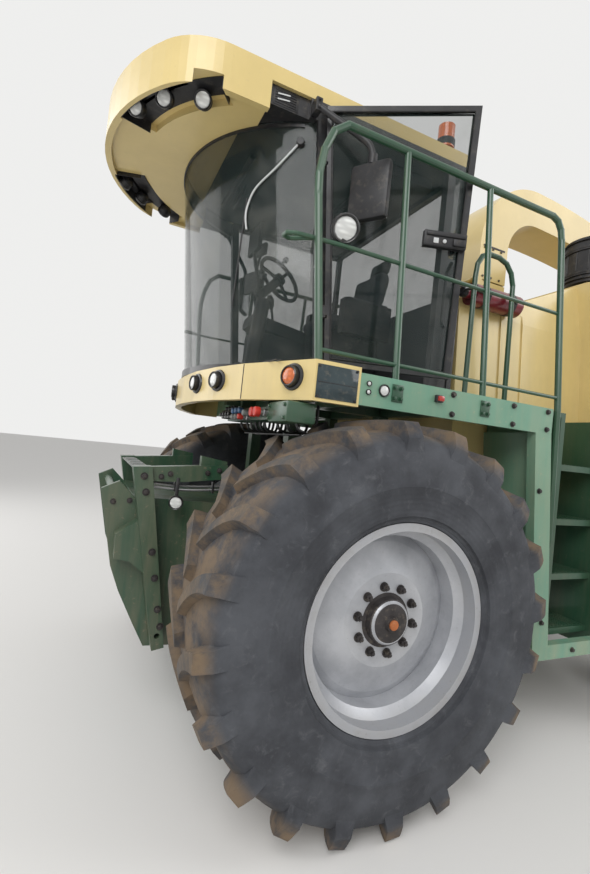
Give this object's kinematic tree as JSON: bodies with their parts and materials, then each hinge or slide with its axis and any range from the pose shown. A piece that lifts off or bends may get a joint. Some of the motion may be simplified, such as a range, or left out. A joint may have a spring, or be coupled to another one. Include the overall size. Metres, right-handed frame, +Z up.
{
  "type": "forage harvester",
  "caption": "Self-propelled forage harvester with a rounded cab, railed side platforms, feed rollers under the cab, steered rear wheels and a slewing discharge spout.",
  "frame": {"origin": "on the ground under the centre of the bounding box", "axes": "+X forward, +Y to the machine's left, +Z up"},
  "size_m": [7.44, 3.176, 4.4595],
  "materials": {
    "amber": "gloss",
    "black": "satin",
    "cloth": "matte",
    "cream": "satin",
    "dark_green": "satin",
    "glass": "gloss",
    "iron": "rough",
    "lens": "gloss",
    "light_green": "satin",
    "plastic": "matte",
    "red": "gloss",
    "steel": "satin",
    "tyre": "matte"
  },
  "bodies": {
    "body": {"chassis": "dark_green", "front_axle": "dark_green", "feed_housing": "dark_green", "chopper_housing": "dark_green", "rear_axle": "dark_green", "cab_frame": "black", "cab_roof": "cream", "windscreen": "glass", "cab_windows": "glass", "seat": "cloth", "seat_base": "plastic", "steering_column": "plastic", "bumper": "cream", "front_lamps": "lens", "coupler_block": "dark_green", "platform_left": "light_green", "platform_right": "light_green", "rail_left": "dark_green", "rail_right": "dark_green", "rail_arch": "dark_green", "ladder": "dark_green", "work_lamps": "lens", "mirrors": "plastic", "beacon": "amber", "extinguisher": "red", "hood": "cream", "engine": "iron", "air_cleaner": "plastic", "exhaust": "steel", "spout_tower": "cream"},
    "front_wheel_left": {"front_rim_left": "steel", "front_tyre_left": "tyre"},
    "front_wheel_right": {"front_rim_right": "steel", "front_tyre_right": "tyre"},
    "rear_wheel_left": {"rear_rim_left": "steel", "rear_tyre_left": "tyre"},
    "rear_wheel_right": {"rear_rim_right": "steel", "rear_tyre_right": "tyre"},
    "knuckle_left": {"knuckle_left": "dark_green"},
    "knuckle_right": {"knuckle_right": "dark_green"},
    "tie_rod": {"tie_rod": "black"},
    "upper_feed_roller": {"upper_feed_roller": "steel"},
    "lower_feed_roller": {"lower_feed_roller": "steel"},
    "steering_wheel": {"steering_wheel": "plastic"},
    "door": {"door_frame": "black", "door_glass": "glass"},
    "hood_door_left": {"hood_door_left": "cream"},
    "hood_door_right": {"hood_door_right": "cream"},
    "tailgate": {"tailgate": "cream"},
    "spout_turret": {"spout_turret": "cream"},
    "spout": {"spout": "cream"},
    "spout_flap": {"spout_flap": "cream"},
    "spout_ram": {"spout_ram": "black"},
    "spout_ram_rod": {"spout_ram_rod": "steel"}
  },
  "joints": [
    {"name": "front_wheel_left_spin", "type": "hinge", "parent": "body", "child": "front_wheel_left", "pos_m": [2.18, 1.222, 1], "axis": [0, 1, 0], "continuous": true},
    {"name": "front_wheel_right_spin", "type": "hinge", "parent": "body", "child": "front_wheel_right", "pos_m": [2.18, -1.222, 1], "axis": [0, 1, 0], "continuous": true},
    {"name": "rear_steer_left", "type": "hinge", "parent": "body", "child": "knuckle_left", "pos_m": [-0.97, 0.96, 0.74], "axis": [0, 0, 1], "range_deg": [-38, 38]},
    {"name": "rear_steer_right", "type": "hinge", "parent": "body", "child": "knuckle_right", "pos_m": [-0.97, -0.96, 0.74], "axis": [0, 0, 1], "range_deg": [-38, 38]},
    {"name": "tie_rod_swing", "type": "hinge", "parent": "knuckle_left", "child": "tie_rod", "pos_m": [-1.17, 0.96, 0.545], "axis": [0, 0, 1], "range_deg": [-38, 38]},
    {"name": "rear_wheel_left_spin", "type": "hinge", "parent": "knuckle_left", "child": "rear_wheel_left", "pos_m": [-0.97, 1.22, 0.74], "axis": [0, 1, 0], "continuous": true},
    {"name": "rear_wheel_right_spin", "type": "hinge", "parent": "knuckle_right", "child": "rear_wheel_right", "pos_m": [-0.97, -1.22, 0.74], "axis": [0, 1, 0], "continuous": true},
    {"name": "upper_feed_roller_spin", "type": "hinge", "parent": "body", "child": "upper_feed_roller", "pos_m": [3.26, 0, 1.13], "axis": [0, 1, 0], "continuous": true},
    {"name": "lower_feed_roller_spin", "type": "hinge", "parent": "body", "child": "lower_feed_roller", "pos_m": [3.155, 0, 0.8], "axis": [0, 1, 0], "continuous": true},
    {"name": "steering_wheel_turn", "type": "hinge", "parent": "body", "child": "steering_wheel", "pos_m": [2.412, 0, 3.08], "axis": [-0.6691, 0, 0.7431], "range_deg": [-608, 608]},
    {"name": "door_swing", "type": "hinge", "parent": "body", "child": "door", "pos_m": [2.415, 0.922, 2.28], "axis": [0.1045, 0, 0.9945], "range_deg": [0, 20.5]},
    {"name": "hood_door_left_lift", "type": "hinge", "parent": "body", "child": "hood_door_left", "pos_m": [-1.2, 1.36, 2.962], "axis": [1, 0, 0], "range_deg": [0, 80]},
    {"name": "hood_door_right_lift", "type": "hinge", "parent": "body", "child": "hood_door_right", "pos_m": [-1.2, -1.36, 2.962], "axis": [1, 0, 0], "range_deg": [-80, 0]},
    {"name": "tailgate_swing", "type": "hinge", "parent": "body", "child": "tailgate", "pos_m": [-2.532, 0.912, 2.3], "axis": [0, 0, 1], "range_deg": [-100, 0]},
    {"name": "spout_slew", "type": "hinge", "parent": "body", "child": "spout_turret", "pos_m": [0.465, 0, 3.25], "axis": [0, 0, 1], "range_deg": [-105, 105]},
    {"name": "spout_lift", "type": "hinge", "parent": "spout_turret", "child": "spout", "pos_m": [0.655, 0, 3.47], "axis": [0, 1, 0], "range_deg": [0, 28]},
    {"name": "spout_ram_swing", "type": "hinge", "parent": "spout_turret", "child": "spout_ram", "pos_m": [0.22, -0.272, 3.43], "axis": [0, 1, 0], "range_deg": [0, 14.34]},
    {"name": "spout_ram_slide", "type": "slide", "parent": "spout_ram", "child": "spout_ram_rod", "axis": [0.3539, 0, 0.9353], "range_m": [0, 0.18184]},
    {"name": "spout_flap_swing", "type": "hinge", "parent": "spout", "child": "spout_flap", "pos_m": [-3.3922, 0, 3.60656], "axis": [0, 1, 0], "range_deg": [-55, 0]}
  ],
  "couplings": [
    {"joint": "rear_steer_right", "follows": "rear_steer_left", "ratio": 1},
    {"joint": "tie_rod_swing", "follows": "rear_steer_left", "ratio": -1},
    {"joint": "steering_wheel_turn", "follows": "rear_steer_left", "ratio": -16},
    {"joint": "spout_ram_swing", "follows": "spout_lift", "ratio": 0.5121},
    {"joint": "spout_ram_slide", "follows": "spout_lift", "m_per_rad": 0.3721}
  ]
}
